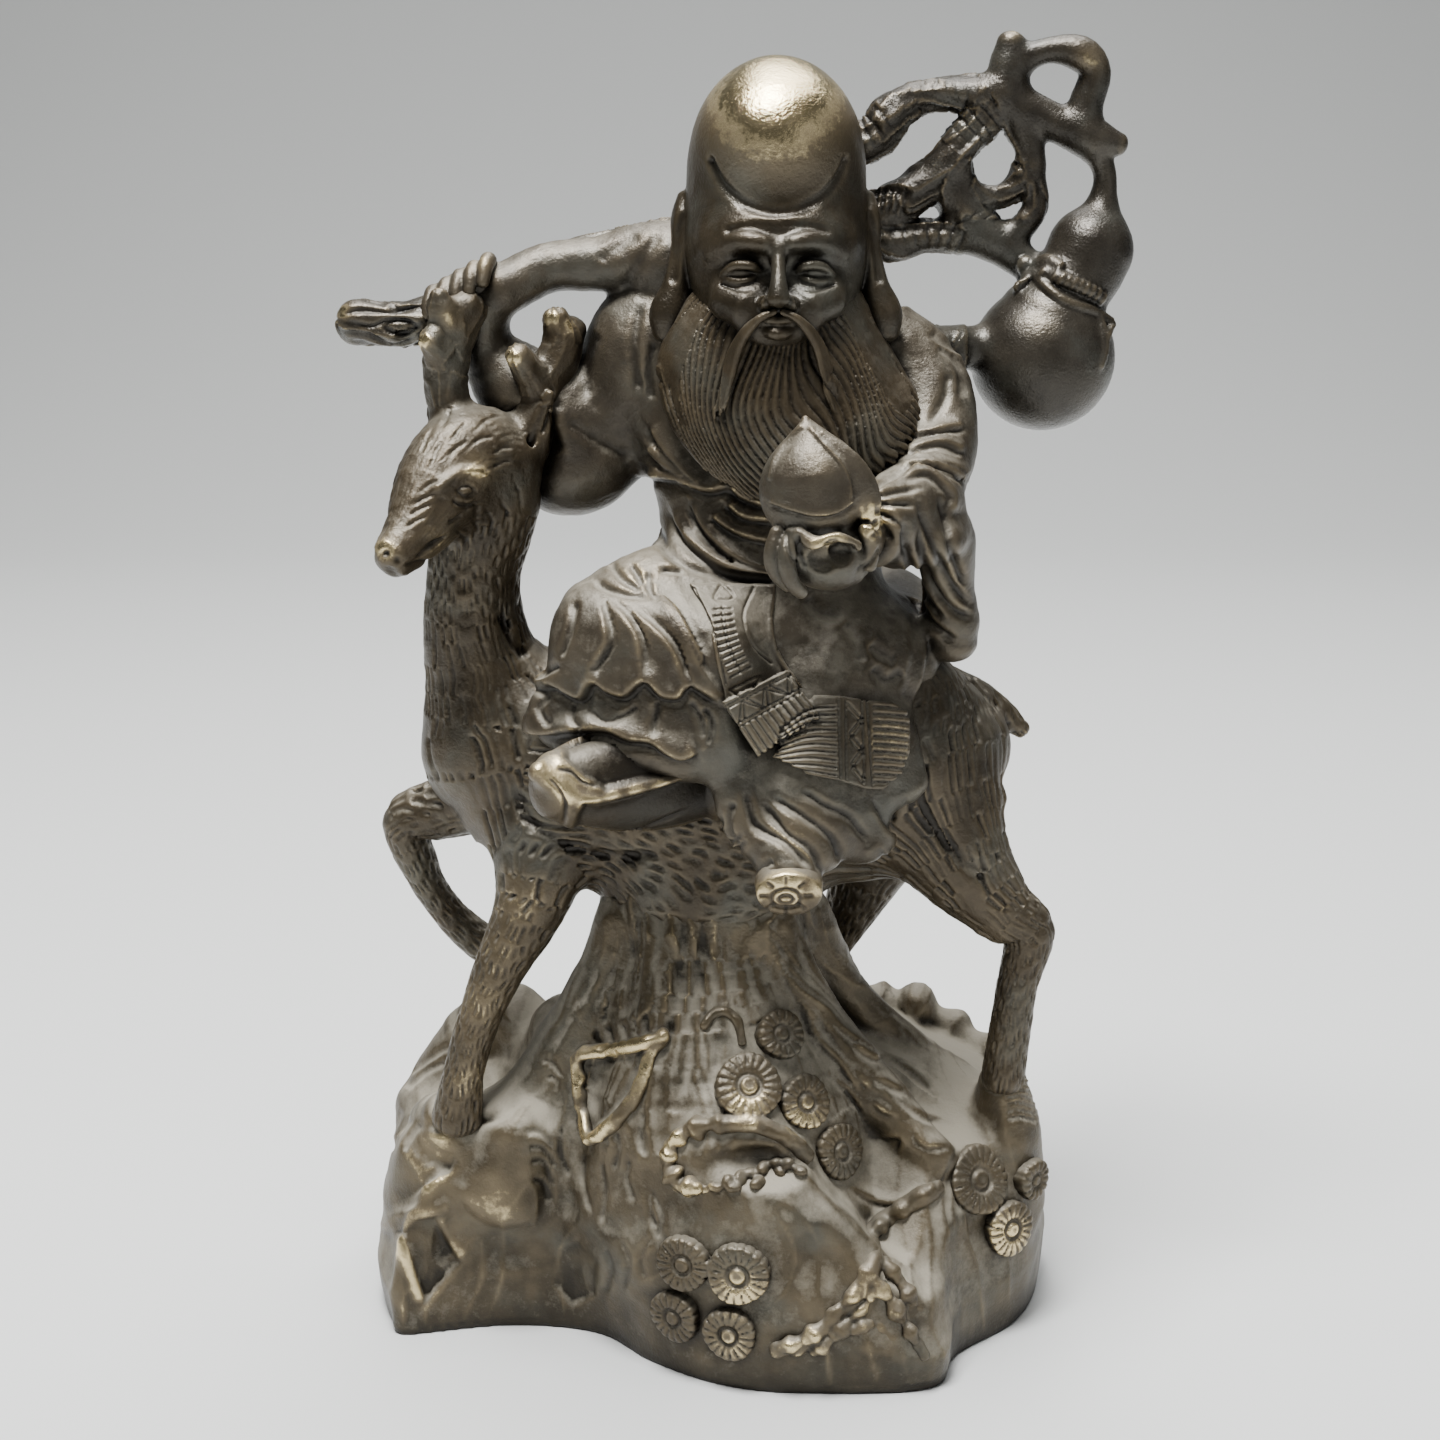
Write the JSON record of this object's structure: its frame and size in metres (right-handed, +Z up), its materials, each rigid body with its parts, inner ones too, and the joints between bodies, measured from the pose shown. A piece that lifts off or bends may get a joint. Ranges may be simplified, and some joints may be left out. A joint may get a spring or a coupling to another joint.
{
  "type": "cast bronze figure of an old sage riding a deer",
  "caption": "Cast bronze figure: a bearded sage with a tall head, peach, gourd staff and robe sits on a deer over a rock with a tree trunk and pine tufts.",
  "frame": {"origin": "middle of the flat underside of the rock, on the surface it stands on", "axes": "+Z up, the figure faces -Y, the deer's head is towards -X"},
  "size_m": [0.1904, 0.1127, 0.3198],
  "materials": {
    "bronze": "dark brown patina, rubbed to brass on the high places"
  },
  "bodies": {
    "root": {"sage_on_deer": "bronze"}
  },
  "joints": []
}
